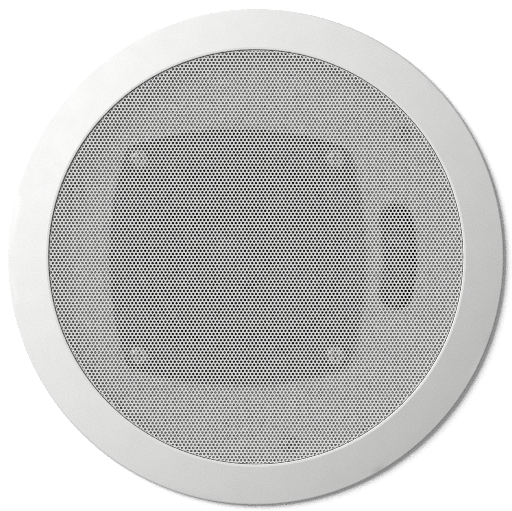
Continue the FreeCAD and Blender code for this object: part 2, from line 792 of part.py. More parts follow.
def make_diaphragm():
    """Cone, dust cap, coil, and the surround and spider that centre them."""
    surround = new_body("surround", "-driver_offset")
    front = "ledge_front - surround_sheet"
    revolve(surround, [
        ("cone_lip_radius", front),
        ("roll_inner", front, "surround_roll + surround_ease"),
        ("roll_outer", front),
        ("rim_radius - surround_gap", front),
        ("rim_radius - surround_gap", "ledge_front"),
        ("roll_outer - surround_sheet", "ledge_front"),
        ("roll_outer - surround_sheet", front, "-(surround_roll - surround_sheet + surround_ease)"),
        ("roll_inner + surround_sheet", front),
        ("roll_inner + surround_sheet", "ledge_front"),
        ("cone_lip_radius", "ledge_front"),
    ])
    cone = new_body("cone", "-driver_offset")
    revolve(cone, [
        ("cone_lip_radius", "ledge_front"),
        ("cone_radius", "ledge_front"),
        ("cone_radius", "ledge_front + cone_paper"),
        ("cone_lip_radius + (cone_rise - cone_paper) / cone_slope", "ledge_front + cone_paper"),
        ("cone_neck", "neck_z + cone_rise"),
        ("cone_neck", "neck_z"),
    ])
    cap = new_body("dust_cap", "-driver_offset")
    revolve(cap, [
        ("0", "cap_front", "cap_curve"),
        ("cap_radius", "cap_base"),
        ("cap_inner", "cap_base", "-cap_inner_curve"),
        ("0", "cap_front + cap_wall"),
    ])
    former = new_body("voice_coil_former", "-driver_offset")
    ring(former, "coil_radius", "former_radius", "neck_z", "neck_z + former_length")
    winding = new_body("voice_coil", "-driver_offset")
    inner = "former_radius + glue_gap"
    ring(winding, inner, inner + " + winding_wall", "winding_start", "winding_start + winding_length")

    spider = new_body("spider", "-driver_offset")
    low = "spider_seat - spider_sheet"
    waves = []
    for step in range(11):
        swing = "0" if step in (0, 10) else ("spider_wave" if step % 2 else "-spider_wave")
        waves.append(("spider_inner + spider_flat + %d * spider_step" % step, swing))
    outline = [("spider_inner", low)]
    outline += [(radius, "%s + %s" % (low, swing)) for radius, swing in waves]
    outline += [("spider_outer", low), ("spider_outer", "spider_seat")]
    outline += [(radius, "spider_seat + " + swing) for radius, swing in reversed(waves)]
    outline += [("spider_inner", "spider_seat")]
    revolve(spider, outline)
    return [surround, cone, cap, former, winding, spider]


def make_magnet():
    """Top plate, ferrite ring and the yoke with its vented pole."""
    plate = new_body("top_plate", "-driver_offset")
    ring(plate, "gap_radius", "top_plate_radius", "basket_floor", "top_plate_back")
    magnet = new_body("ferrite_magnet", "-driver_offset")
    ring(magnet, "magnet_hole_radius", "magnet_radius", "top_plate_back", "magnet_back")
    yoke = new_body("pole_yoke", "-driver_offset")
    revolve(yoke, [
        ("yoke_vent_radius", "basket_floor"),
        ("pole_radius", "basket_floor"),
        ("pole_radius", "magnet_back"),
        ("yoke_radius", "magnet_back"),
        ("yoke_radius", "yoke_back - yoke_chamfer"),
        ("yoke_radius - yoke_chamfer", "yoke_back"),
        ("yoke_vent_radius", "yoke_back"),
    ])
    return [plate, magnet, yoke]


def make_driver_terminals():
    """The tag strip, its two lugs and the two flexible leads to the cone."""
    strip = box("terminal_strip", "-driver_offset - strip_width / 2", "strip_start", "strip_front",
                "strip_width", "strip_length", "strip_thickness")
    lugs = []
    leads = []
    for side in ("-", ""):
        x = side + "lug_spread - driver_offset"
        lugs.append(box("solder_lug", x + " - lug_width / 2", "strip_start + lug_inset", "strip_back",
                        "lug_width", "lug_length", "lug_thickness"))
        leads.append(lead("tinsel_lead", "tinsel_radius", [
            ("tinsel_start", "strip_front"),
            ("tinsel_start", "strip_front - tinsel_drop", "-tinsel_bend"),
            ("tinsel_end", "tinsel_end_z"),
        ], x, "0", "90", "strip_front"))
    return [strip, group("solder_lugs", lugs), group("tinsel_leads", leads)]


def make_port():
    """The bent vent tube glued behind the baffle."""
    tube = kidney("port_outer", "port_outer_width", "baffle_back", "port_length")
    flange = kidney("port_collar", "port_flange_width", "baffle_back", "port_wall")
    return cut("port_tube", fuse("port_shell", [tube, flange]),
               kidney("port_bore", "port_width", "baffle_back", "port_length"))


def make_can():
    """The rolled can wall, the pressed cap welded on its end, three brackets, a gasket and screws."""
    wall = new_body("can_wall")
    ring(wall, "can_radius", "can_outer", "can_rim", "can_seam")
    cap = new_body("can_cap")
    revolve(cap, [
        ("can_radius", "can_seam"),
        ("can_outer", "can_seam"),
        ("can_outer", "can_shoulder", "can_round"),
        ("can_outer - can_round", "can_end"),
        ("0", "can_end"),
        ("0", "can_end - can_sheet"),
        ("can_outer - can_round", "can_end - can_sheet", "can_sheet - can_round"),
        ("can_radius", "can_shoulder"),
    ])
    opening = rectangle("-block_width / 2 - block_gap", "block_y - block_front - block_gap",
                        "block_width / 2 + block_gap", "block_y + block_back + block_gap")
    pocket(cap, draw(new_sketch(cap, "XY_Plane", "can_end - can_sheet"), opening), "can_sheet")
    holes = new_sketch(cap, "XY_Plane", "can_end - can_sheet")
    for side in ("-", ""):
        draw_circle(holes, "plate_screw_radius + pilot_gap", side + "plate_screw_spread", "block_y")
    pocket(cap, holes, "can_sheet")
    gasket = new_body("can_gasket")
    ring(gasket, "can_radius - can_gasket_margin", "can_outer + can_gasket_margin", "baffle_back", "can_rim")

    brackets = []
    screws = []
    for number in range(SIZES["clamp_count"]):
        angle = "ear_first_angle + %d * 360 / clamp_count" % number
        brackets.append(make_bracket("can_bracket_%d" % (number + 1), angle))
        x, y = around("clamp_circle", angle)
        screws.append(screw("can_screw_%d" % (number + 1), "screw_head_radius", "screw_head_height",
                            "screw_radius", "can_screw_length", x, y, "ear_z + can_sheet", from_back=True))
    return [wall, cap, gasket, group("can_brackets", brackets), group("can_screws", screws)]


def make_bracket(label, angle):
    """An angle bracket whose upright follows the can's wall and whose ear takes a screw."""
    body = new_body(label, turn=angle)
    upright = rectangle("can_outer - can_sheet / 2", "-ear_half_width",
                        "can_outer + can_sheet", "ear_half_width")
    pad(body, draw(new_sketch(body, "XY_Plane", "ear_z"), upright), "ear_upright")
    ear = rectangle("can_outer", "-ear_half_width", "clamp_circle + ear_reach", "ear_half_width")
    pad(body, draw(new_sketch(body, "XY_Plane", "ear_z"), ear), "can_sheet")
    hole = draw_circle(new_sketch(body, "XY_Plane", "ear_z"), "pass_radius", "clamp_circle")
    pocket(body, hole, "can_sheet")
    wall = draw_circle(new_sketch(body, "XY_Plane", "ear_z"), "can_outer + weld_gap")
    pocket(body, wall, "ear_upright")
    return body


def make_terminal_block():
    """The push terminal on the can's end: housing, two sprung tabs, contacts and screws."""
    block = new_body("terminal_housing")
    plate = rectangle("-plate_width / 2", "block_y - block_front - plate_margin",
                      "plate_width / 2", "block_y + block_back + plate_margin")
    pad(block, draw(new_sketch(block, "XY_Plane", "can_end"), plate), "plate_thickness")
    round_edges(block, "plate_margin", is_upright)
    housing = rectangle("-block_width / 2", "block_y - block_front",
                        "block_width / 2", "block_y + block_back")
    pad(block, draw(new_sketch(block, "XY_Plane", "block_inner"), housing), "block_depth")
    slots = new_sketch(block, "XY_Plane", "plate_back - slot_depth")
    wire_holes = new_sketch(block, "XY_Plane", "contact_top")
    tails = new_sketch(block, "XY_Plane", "block_inner")
    screw_holes = new_sketch(block, "XY_Plane", "can_end")
    for side in ("-", ""):
        x = side + "tab_spread"
        half = "(tab_width / 2 + tab_side_gap)"
        draw(slots, rectangle("%s - %s" % (x, half), "block_y - slot_front",
                              "%s + %s" % (x, half), "block_y + slot_back"))
        draw_circle(wire_holes, "wire_hole_radius", x, "block_y + wire_hole_y")
        wide = "(contact_width / 2 + contact_gap)"
        thick = "(contact_sheet / 2 + contact_gap)"
        draw(tails, rectangle("%s - %s" % (x, wide), "block_y + wire_hole_y - " + thick,
                              "%s + %s" % (x, wide), "block_y + wire_hole_y + " + thick))
        draw_circle(screw_holes, "plate_screw_radius + pass_gap", side + "plate_screw_spread", "block_y")
    pocket(block, slots, "slot_depth")
    pocket(block, wire_holes, "wire_hole_depth")
    pocket(block, tails, "contact_top - block_inner")
    pocket(block, screw_holes, "plate_thickness")
    pivots = []
    tabs = []
    for side, name in (("-", "push_tab_black"), ("", "push_tab_red")):
        x = side + "tab_spread"
        pivots.append(pivot_pin(name + "_bearing", x, "pivot_radius + pivot_gap", "pivot_reach + pivot_gap"))
        key = new_body(name + "_key")
        outline = rectangle(x + " - tab_width / 2", "block_y - tab_front",
                            x + " + tab_width / 2", "block_y + tab_back")
        pad(key, draw(new_sketch(key, "XY_Plane", "tab_back_z - tab_height"), outline), "tab_height")
        top = value("tab_back_z")
        round_edges(key, "tab_round", lambda edge: edge.BoundBox.ZMin > top - 1e-6)
        tabs.append(fuse(name, [key, pivot_pin(name + "_pin", x, "pivot_radius", "pivot_reach")]))
    housing = cut("terminal_block", block, fuse("pivot_bearings", pivots))

    contacts = []
    screws = []
    for side in ("-", ""):
        contacts.append(box("terminal_contact", side + "tab_spread - contact_width / 2",
                            "block_y + wire_hole_y - contact_sheet / 2", "contact_end",
                            "contact_width", "contact_sheet", "contact_top - contact_end"))
        screws.append(screw("terminal_screw", "plate_screw_head_radius", "plate_screw_head_height",
                            "plate_screw_radius", "plate_screw_length", side + "plate_screw_spread",
                            "block_y", "plate_back", from_back=True))
    return [housing] + tabs + [group("terminal_contacts", contacts), group("terminal_screws", screws)]


def pivot_pin(label, x, radius, reach):
    """A cross pin through a tab, reaching past both sides of its slot."""
    half = "tab_width / 2 + tab_side_gap + " + reach
    pin = doc.addObject("Part::Cylinder", label)
    pin.Placement.Rotation = FreeCAD.Rotation(FreeCAD.Vector(0, 1, 0), 90)
    bind(pin, Radius=radius, Height="2 * (%s)" % half)
    bind(pin, Placement__Base__x="%s - (%s)" % (x, half), Placement__Base__y="block_y - pivot_y")
    bind(pin, Placement__Base__z="pivot_z")
    return pin


def make_leads():
    """Two insulated wires from the terminal's contacts to the driver's lugs."""
    leads = []
    for side, name in (("-", "lead_black"), ("", "lead_red")):
        start_x = side + "tab_spread"
        end_x = side + "lug_spread - driver_offset"
        across = "(%s - (%s))" % (end_x, start_x)
        along = "(lead_end_y - lead_y)"
        run = "sqrt(%s ^ 2 + %s ^ 2)" % (across, along)
        bend = "((%s) ^ 2 + lead_bend_height ^ 2) / (4 * %s)" % (run, run)
        middle_z = "lead_bend_top - lead_bend_height / 2"
        leads.append(lead(name, "lead_radius", [
            ("0", "lead_top"),
            ("0", "lead_bend_top", bend),
            ("%s / 2" % run, middle_z, "-(%s)" % bend),
            (run, "lead_bend_top - lead_bend_height"),
            (run, "lug_back + lead_gap"),
        ], start_x, "lead_y", "atan2(%s; %s)" % (along, across), "lead_top"))
    return leads


def make_clamp(number):
    """One ceiling clamp: screw, threaded bush, swinging leg and end retainer."""
    angle = clamp_angle(number)
    x, y = around("clamp_circle", angle)
    tag = "_%d" % (number + 1)
    bolt = screw("clamp_screw" + tag, "clamp_head_radius", "clamp_head_height", "clamp_screw_radius",
                 "clamp_screw_top - baffle_front", x, y, "baffle_front")
    bore = "clamp_screw_radius + thread_gap"

    nut = new_body("clamp_nut" + tag, x, y)
    revolve(nut, [
        (bore, "nut_bottom"),
        ("nut_radius", "nut_bottom"),
        ("nut_radius", "hub_top"),
        ("nut_flange_radius", "hub_top"),
        ("nut_flange_radius", "nut_top"),
        (bore, "nut_top"),
    ])

    leg = new_body("clamp_leg" + tag, x, y, "0", "%s - leg_park_angle" % angle)
    pad(leg, draw_circle(new_sketch(leg, "XY_Plane", "hub_bottom"), "hub_radius"), "hub_height")
    arm = rectangle("0", "-leg_half_width", "leg_length", "leg_half_width")
    pad(leg, draw(new_sketch(leg, "XY_Plane", "hub_bottom"), arm), "leg_thickness")
    toe = rectangle("leg_length - toe_length", "-leg_half_width", "leg_length", "leg_half_width")
    pad(leg, draw(new_sketch(leg, "XY_Plane", "hub_bottom - toe_drop"), toe), "toe_drop")
    rib = rectangle("0", "-leg_rib_half_width", "leg_length - toe_length", "leg_rib_half_width")
    pad(leg, draw(new_sketch(leg, "XY_Plane", "hub_bottom + leg_thickness"), rib), "leg_rib_height")
    pocket(leg, draw_circle(new_sketch(leg, "XY_Plane", "hub_bottom"), "clamp_hole_radius"), "hub_height")
    pocket(leg, draw_circle(new_sketch(leg, "XY_Plane", "hub_bottom + hub_floor"), "nut_radius + hub_gap"),
           "hub_height")

    retainer = new_body("clamp_retainer" + tag, x, y)
    ring(retainer, bore, "retainer_radius", "retainer_bottom", "retainer_bottom + retainer_thickness")
    return [bolt, nut, leg, retainer]


nodes = [make_front_baffle(), make_grille()]
nodes += make_driver_frame()
nodes += make_diaphragm()
nodes += make_magnet()
nodes += make_driver_terminals()
nodes.append(make_port())
nodes += make_can()
nodes += make_terminal_block()
nodes += make_leads()
for clamp in range(SIZES["clamp_count"]):
    nodes += make_clamp(clamp)
doc.recompute()

for item in doc.Objects:
    if "Invalid" in item.State or "Error" in item.State:
        raise RuntimeError("%s did not build: %s" % (item.Label, item.State))
for node in nodes:
    if node.Shape.isNull() or not node.Shape.isValid():
        raise RuntimeError("%s has no sound shape" % node.Label)

os.makedirs("parts", exist_ok=True)
for node in nodes:
    node.Shape.exportStep("parts/%s.step" % node.Label)
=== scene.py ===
import json
import math

import bmesh
import bpy
import numpy as np
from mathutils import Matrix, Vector

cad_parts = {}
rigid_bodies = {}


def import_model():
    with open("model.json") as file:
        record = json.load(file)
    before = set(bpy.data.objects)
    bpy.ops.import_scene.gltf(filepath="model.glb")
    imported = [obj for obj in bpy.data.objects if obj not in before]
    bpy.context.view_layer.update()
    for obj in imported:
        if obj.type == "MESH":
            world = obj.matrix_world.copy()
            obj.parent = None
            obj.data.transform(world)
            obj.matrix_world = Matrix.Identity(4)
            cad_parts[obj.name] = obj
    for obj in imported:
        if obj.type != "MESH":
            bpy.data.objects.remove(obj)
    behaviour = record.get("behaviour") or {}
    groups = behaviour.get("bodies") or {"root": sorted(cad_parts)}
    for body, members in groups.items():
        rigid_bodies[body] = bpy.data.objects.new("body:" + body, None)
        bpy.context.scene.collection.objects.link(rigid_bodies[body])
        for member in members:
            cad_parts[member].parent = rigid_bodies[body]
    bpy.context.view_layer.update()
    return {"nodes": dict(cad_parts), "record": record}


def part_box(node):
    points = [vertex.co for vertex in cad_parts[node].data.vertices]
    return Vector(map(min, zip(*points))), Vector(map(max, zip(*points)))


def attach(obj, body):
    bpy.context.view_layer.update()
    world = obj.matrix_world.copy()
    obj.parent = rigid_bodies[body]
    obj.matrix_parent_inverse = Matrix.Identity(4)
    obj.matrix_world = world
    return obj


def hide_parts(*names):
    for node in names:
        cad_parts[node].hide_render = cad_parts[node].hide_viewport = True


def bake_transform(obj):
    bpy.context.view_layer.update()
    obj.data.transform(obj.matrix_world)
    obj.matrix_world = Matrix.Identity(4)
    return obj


# Lengths in the tables are in millimetres; Blender works in metres.
MM = 0.001
# Points this close are one point, and edges bent by more than this many degrees stay sharp.
SAME_POINT = 0.001
SHARP_ANGLE = 40.0

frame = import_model()
nodes = frame["nodes"]
slot_of = {part["node"]: part["material_slot"] for part in frame["record"]["subparts"]}

# Driver axis, and where its flexible parts bend, from the fixed end to the moving one: radii about that
# axis for the surround and spider, and places along Y for the leads
SURROUND_BEND = (42.0, 36.2)
SPIDER_BEND = (28.0, 15.6)
LEAD_BEND = (38.0, 22.0)

# Perforated grille sheet, and the folded rim as (radius, z) points
HOLE_RADIUS = 0.545
HOLE_SIDES = 12
HOLE_PITCH = 1.485
HOLE_ROW = 1.238
SHEET_FRONT = -5.9
SHEET_BACK = -5.3
SHEET_EDGE = 82.95
SHEET_MARGIN = 2.0
SHEET_BANDS = 4
RIM_PROFILE = [
    (82.95, -5.3), (82.55, -5.3), (82.55, -2.0), (83.15, -2.0),
    (83.15, -5.70), (83.13, -5.80), (83.06, -5.87), (82.95, -5.9), (82.95, -5.3),
]
RIM_STEPS = 360

# Screw heads: which way each faces along Z, and its height
SCREW_HEADS = {
    "driver_screws": (-1, 2.4), "can_screws": (1, 2.4), "terminal_screws": (1, 1.8),
    "clamp_screw_1": (-1, 2.4), "clamp_screw_2": (-1, 2.4), "clamp_screw_3": (-1, 2.4),
}
# Recess points that are nearer to each other than this belong to one head.
HEAD_REACH = 8.0
# Cross recess: the depth of its floor, and how much deeper its point goes, as shares of the head's
# height, and the share of its width that is left there
RECESS_DEPTH = 0.6
RECESS_POINT = 0.2
RECESS_TAPER = 0.3

# Clamp screw threads, and the height just past the head at which the plain shank is cut off
THREAD_PITCH = 1.5
THREAD_ROOT = 1.62
THREAD_CREST = 2.0
THREAD_START = 6.5
THREAD_END = 62.0
THREAD_SIDES = 32
THREAD_ROWS = 8
THREAD_STEEPNESS = 2.4
THREAD_VALLEY = 0.7
THREAD_TIP = 0.55
HEAD_END = 6.6

# Patterns: the part of a noise's range that is used, the stretch of even ridges, the size of a gloss
# pattern beside its colour's, and the slopes of a face between which its colour turns to the darker
# one of painted shade, put on the grille's back and hole walls
NOISE_RANGE = (0.3, 0.7)
BAND_SCALE = 0.5 / math.pi
GLOSS_GRAIN = 0.7
PAINTED_SHADE_SLOPES = (-0.8, -0.4)
# How much of a warm grey's loss of blue its green has too
GREEN_LOSS = 0.3
WHITE = (1.0, 1.0, 1.0, 1.0)

# Camera and light
CAMERA_DISTANCE = 2000.0
CAMERA_RISE = 0.6
VIEW_WIDTH = 206.45
SENSOR = 36.0
KEY_TOWARDS = (-0.627, -0.440, -0.643)
KEY_STRENGTH = 3.75
KEY_SPREAD = 42.0
TOP_TOWARDS = (-0.25, -0.40, 0.88)
TOP_STRENGTH = 3.0
TOP_SPREAD = 20.0
AMBIENT = 0.19
# Finishes of the solids above the ceiling board that are left out of the key lamp's light
VOID_SLOTS = (
    "can_steel", "leg_moulding", "contact_brass", "black_moulding", "red_moulding", "spring_steel",
)

# Ceiling board and floor
STAGE_LIFT = 0.09
BOARD_HOLE = 99.0
STAGE_REACH = 6000.0
STAGE_STEPS = 128
FLOOR_MIDDLE = 0.5
FLOOR_Z = -6.6


def add(tree, kind, inputs=None, **settings):
    """A shader node with its settings made and its sockets linked or filled."""
    node = tree.nodes.new(kind)
    for key, value in settings.items():
        setattr(node, key, value)
    for key, value in (inputs or {}).items():
        if isinstance(value, bpy.types.NodeSocket):
            tree.links.new(value, node.inputs[key])
        else:
            node.inputs[key].default_value = value
    return node


def place(tree, size):
    """The part's own coordinates in units of a pattern size."""
    where = add(tree, "ShaderNodeTexCoord").outputs["Object"]
    scale = 1 / (size * MM)
    return add(tree, "ShaderNodeMapping", {"Vector": where, "Scale": (scale, scale, scale)}).outputs[0]


def noise(tree, size):
    """Soft irregular mottling."""
    inputs = {"Vector": place(tree, size), "Scale": 1.0, "Detail": 5.0}
    return add(tree, "ShaderNodeTexNoise", inputs).outputs["Fac"]


def fibres(tree, size):
    """Matted strands, from noise that folds over itself."""
    inputs = {"Vector": place(tree, size), "Scale": 1.0, "Detail": 6.0, "Distortion": 2.5}
    return add(tree, "ShaderNodeTexNoise", inputs).outputs["Fac"]


def pores(tree, size):
    """Small round cells, deepest at their middles."""
    return add(tree, "ShaderNodeTexVoronoi", {"Vector": place(tree, size), "Scale": 1.0}).outputs["Distance"]


def spangle(tree, size):
    """Angular crystals, each of one tone."""
    cells = add(tree, "ShaderNodeTexVoronoi", {"Vector": place(tree, size), "Scale": 1.0})
    return add(tree, "ShaderNodeRGBToBW", {"Color": cells.outputs["Color"]}).outputs[0]


def bands(tree, size, direction):
    """Even ridges across one direction."""
    inputs = {"Vector": place(tree, size), "Scale": BAND_SCALE}
    wave = add(tree, "ShaderNodeTexWave", inputs, wave_type="BANDS", bands_direction=direction)
    return wave.outputs["Fac"]


def weave(tree, size):
    """Crossed threads."""
    warp = bands(tree, size, "X")
    weft = bands(tree, size, "Y")
    return add(tree, "ShaderNodeMath", {0: warp, 1: weft}, operation="MULTIPLY").outputs[0]


def winding(tree, size):
    """Turns of wire stacked along the axis."""
    return bands(tree, size, "Z")


def painted_shade_mask(tree):
    """0 on faces that look into the room, 1 on those that look sideways or back, where painted shade goes."""
    normal = add(tree, "ShaderNodeTexCoord").outputs["Normal"]
    depth = add(tree, "ShaderNodeSeparateXYZ", {"Vector": normal}).outputs["Z"]
    inputs = {"Value": depth, "From Min": PAINTED_SHADE_SLOPES[0], "From Max": PAINTED_SHADE_SLOPES[1]}
    return add(tree, "ShaderNodeMapRange", inputs).outputs[0]


def finish(slot, dark, light, grain, rough, relief, pattern=noise, bumps=noise, behind=None, **sockets):
    """A material with a mottled colour, an uneven gloss and a fine relief.

    grain is the size of the colour's pattern, rough the range of roughness, relief the size and the
    height of the bumps, behind the darker colour of faces that look sideways or back, a painted shade,
    and sockets are constants of the shader.
    """
    made = bpy.data.materials.new(slot)
    made.use_nodes = True
    tree = made.node_tree
    tree.nodes.clear()
    ramp = add(tree, "ShaderNodeValToRGB", {"Fac": pattern(tree, grain)})
    for stop, position, tone in zip(ramp.color_ramp.elements, NOISE_RANGE, (dark, light)):
        stop.position = position
        stop.color = (*tone, 1.0)
    colour = ramp.outputs["Color"]
    # Faces that look sideways or back take the darker colour behind: painted shade for the recess behind the
    # grille.
    if behind:
        painted_shade_mix = {"Fac": painted_shade_mask(tree), "Color1": colour, "Color2": (*behind, 1.0)}
        colour = add(tree, "ShaderNodeMixRGB", painted_shade_mix).outputs[0]
    gloss = add(tree, "ShaderNodeMapRange", {
        "Value": noise(tree, grain * GLOSS_GRAIN), "From Min": NOISE_RANGE[0], "From Max": NOISE_RANGE[1],
        "To Min": rough[0], "To Max": rough[1]})
    size, height = relief
    bump = add(tree, "ShaderNodeBump", {
        "Height": bumps(tree, size), "Strength": 1.0, "Distance": height * MM})
    shader = add(tree, "ShaderNodeBsdfPrincipled", {
        "Base Color": colour, "Roughness": gloss.outputs[0], "Normal": bump.outputs[0]})
    for key, value in sockets.items():
        shader.inputs[key.replace("_", " ")].default_value = value
    add(tree, "ShaderNodeOutputMaterial", {"Surface": shader.outputs[0]})
    return made


def grey(level, warmth=0.0):
    """A grey of one level, with less blue and a little less green the warmer it is."""
    return (level, level * (1 - GREEN_LOSS * warmth), level * (1 - warmth))


finishes = {
    "white_moulding": dict(dark=grey(0.72, 0.012), light=grey(0.745, 0.008), grain=9.0, rough=(0.52, 0.62),
                           relief=(0.5, 0.002)),
    # The grille's back and hole walls are darker (behind): painted shade for the recess behind the sheet.
    "grille_paint": dict(dark=grey(0.72, 0.012), light=grey(0.745, 0.010), grain=6.0, rough=(0.42, 0.55),
                         relief=(0.9, 0.005), behind=grey(0.30)),
    "frame_paint": dict(dark=grey(0.018), light=grey(0.029), grain=4.0, rough=(0.40, 0.54),
                        relief=(0.7, 0.008)),
    "can_steel": dict(dark=grey(0.38), light=grey(0.45), grain=5.0, rough=(0.42, 0.56), relief=(5.0, 0.010),
                      pattern=spangle, Metallic=1.0),
    "foam": dict(dark=grey(0.018), light=grey(0.050), grain=0.9, rough=(0.85, 0.95), relief=(0.7, 0.10),
                 pattern=pores, bumps=pores),
    "screw_zinc": dict(dark=grey(0.46, 0.05), light=grey(0.60, 0.04), grain=1.6, rough=(0.34, 0.48),
                       relief=(0.5, 0.004), Metallic=1.0),
    "surround_rubber": dict(dark=grey(0.018), light=grey(0.030), grain=3.0, rough=(0.42, 0.56),
                            relief=(0.5, 0.005)),
    "cone_paper": dict(dark=grey(0.030), light=grey(0.055), grain=1.2, rough=(0.55, 0.75), relief=(0.8, 0.03),
                       pattern=fibres, bumps=fibres),
    "cap_paper": dict(dark=grey(0.030), light=grey(0.050), grain=1.0, rough=(0.48, 0.62), relief=(0.8, 0.015),
                      pattern=fibres, bumps=fibres),
    "former_film": dict(dark=grey(0.62), light=grey(0.78), grain=2.0, rough=(0.28, 0.40), relief=(1.0, 0.006),
                        Metallic=1.0),
    "coil_copper": dict(dark=(0.46, 0.17, 0.07), light=(0.80, 0.36, 0.17), grain=0.22, rough=(0.26, 0.38),
                        relief=(0.22, 0.05), pattern=winding, bumps=winding, Metallic=1.0),
    "spider_cloth": dict(dark=(0.34, 0.18, 0.05), light=(0.66, 0.43, 0.17), grain=0.55, rough=(0.70, 0.88),
                         relief=(0.55, 0.08), pattern=weave, bumps=weave),
    "plate_steel": dict(dark=grey(0.34), light=grey(0.48), grain=2.5, rough=(0.32, 0.46), relief=(0.8, 0.006),
                        Metallic=1.0),
    "ferrite": dict(dark=grey(0.060), light=grey(0.105), grain=1.2, rough=(0.66, 0.82), relief=(0.5, 0.02)),
    "strip_board": dict(dark=(0.20, 0.09, 0.04), light=(0.33, 0.17, 0.085), grain=1.0, rough=(0.55, 0.72),
                        relief=(0.6, 0.015), pattern=fibres, bumps=fibres),
    "contact_brass": dict(dark=(0.60, 0.43, 0.17), light=(0.80, 0.62, 0.30), grain=2.0, rough=(0.26, 0.40),
                          relief=(0.6, 0.005), Metallic=1.0),
    "black_moulding": dict(dark=grey(0.018), light=grey(0.030), grain=3.0, rough=(0.40, 0.54),
                           relief=(0.45, 0.006)),
    "red_moulding": dict(dark=(0.42, 0.012, 0.010), light=(0.54, 0.022, 0.018), grain=3.0, rough=(0.38, 0.52),
                         relief=(0.45, 0.006)),
    "leg_moulding": dict(dark=grey(0.050), light=grey(0.085), grain=1.1, rough=(0.46, 0.62),
                         relief=(0.5, 0.012), pattern=fibres),
    "spring_steel": dict(dark=grey(0.42), light=grey(0.58), grain=1.5, rough=(0.30, 0.42),
                         relief=(0.5, 0.004), Metallic=1.0),
}
materials = {slot: finish(slot, **look) for slot, look in finishes.items()}


def dress(piece, slot):
    """Give a mesh the one material of its slot."""
    piece.data.materials.clear()
    piece.data.materials.append(materials[slot])


def stand_in(name, mesh, node, body="housing"):
    """Show a new mesh in place of a solid, in the same finish, on the body given if there is one."""
    piece = bpy.data.objects.new(name, mesh)
    bpy.context.scene.collection.objects.link(piece)
    dress(piece, slot_of[node])
    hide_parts(node)
    if body:
        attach(piece, body)
    return piece


def smooth(mesh):
    """Smooth shading, with the sharp edges kept."""
    mesh.shade_smooth()
    mesh.set_sharp_from_angle(angle=math.radians(SHARP_ANGLE))


def new_mesh(name, points, faces):
    """A smooth mesh from points in millimetres."""
    mesh = bpy.data.meshes.new(name)
    mesh.from_pydata(np.asarray(points) * MM, [], faces)
    smooth(mesh)
    return mesh


def lathe(name, profile, steps):
    """A profile of (radius, z) points turned about the Z axis."""
    turn = np.linspace(0, 2 * math.pi, steps, endpoint=False)
    radius, height = np.array(profile).T
    points = np.stack([
        np.outer(np.cos(turn), radius), np.outer(np.sin(turn), radius), np.tile(height, (steps, 1)),
    ], axis=2).reshape(-1, 3)
    count = len(profile)
    faces = []
    for step in range(steps):
        here, there = step * count, (step + 1) % steps * count
        faces += [(here + k, here + k + 1, there + k + 1, there + k) for k in range(count - 1)]
    return new_mesh(name, points, faces)


def sheet_holes():
    """Rows of holes over the sheet, as a table from (column, row) to a number, and their centres."""
    reach = SHEET_EDGE + SHEET_MARGIN
    rows = int(reach / HOLE_ROW) + 1
    columns = int(reach / HOLE_PITCH) + 1
    number = {}
    centres = []
    for row in range(-rows, rows + 1):
        for column in range(-columns, columns + 1):
            centre = ((column + 0.5 * (row % 2)) * HOLE_PITCH, row * HOLE_ROW)
            if math.hypot(*centre) < reach:
                number[column, row] = len(centres)
                centres.append(centre)
    return number, np.array(centres)


def web_faces(number, column, row):
    """The strips of metal between a hole and its neighbours, as (hole, corner) rings seen from behind.

    A hole has twelve corners, counted from 15 degrees upwards.
    """
    shift = row % 2
    here = number[column, row]
    right = number.get((column + 1, row))
    above_right = number.get((column + shift, row + 1))
    above_left = number.get((column + shift - 1, row + 1))
    below_right = number.get((column + shift, row - 1))
    rings = [
        [(here, 11), (right, 6), (right, 5), (here, 0)],
        [(here, 1), (above_right, 8), (above_right, 7), (here, 2)],
        [(here, 3), (above_left, 10), (above_left, 9), (here, 4)],
        [(here, 0), (right, 5), (right, 4), (above_right, 9), (above_right, 8), (here, 1)],
        [(here, 11), (here, 10), (below_right, 3), (below_right, 2), (right, 7), (right, 6)],
    ]
    return [ring for ring in rings if all(hole is not None for hole, _ in ring)]


def thicken(fronts, count):
    """Closed metal from front faces: their backs, and walls round each hole and along each open edge."""
    sides = dict.fromkeys((a, b) for face in fronts for a, b in zip(face, face[1:] + face[:1]))
    walls = [[b, a, a + count, b + count] for a, b in sides if (b, a) not in sides]
    backs = [[corner + count for corner in reversed(face)] for face in fronts]
    return fronts + backs + walls


def make_grille():
    """The perforated sheet, in bands of rows, and its folded rim."""
    number, centres = sheet_holes()
    angle = (np.arange(HOLE_SIDES) + 0.5) * 2 * math.pi / HOLE_SIDES
    corners = HOLE_RADIUS * np.stack([np.cos(angle), np.sin(angle)], axis=1)
    outline = (centres[:, None, :] + corners[None, :, :]).reshape(-1, 2)
    radius = np.hypot(*outline.T)
    beyond = radius > SHEET_EDGE
    outline *= np.minimum(1, SHEET_EDGE / radius)[:, None]
    count = len(outline)
    front = np.column_stack([outline, np.full(count, SHEET_FRONT)])
    back = np.column_stack([outline, np.full(count, SHEET_BACK)])
    points = np.vstack([front, back])

    for band, keys in enumerate(np.array_split(np.array(list(number)), SHEET_BANDS), start=1):
        fronts = []
        for column, row in keys.tolist():
            for ring in web_faces(number, column, row):
                face = [hole * HOLE_SIDES + corner for hole, corner in reversed(ring)]
                if not beyond[face].all():
                    fronts.append(face)
        faces = thicken(fronts, count)
        used, flat = np.unique(np.concatenate(faces), return_inverse=True)
        ends = np.cumsum([len(face) for face in faces])
        faces = [part.tolist() for part in np.split(flat, ends[:-1])]
        name = "grille_sheet_%d" % band
        stand_in(name, new_mesh(name, points[used], faces), "grille")
    stand_in("grille_rim", lathe("grille_rim", RIM_PROFILE, RIM_STEPS), "grille")


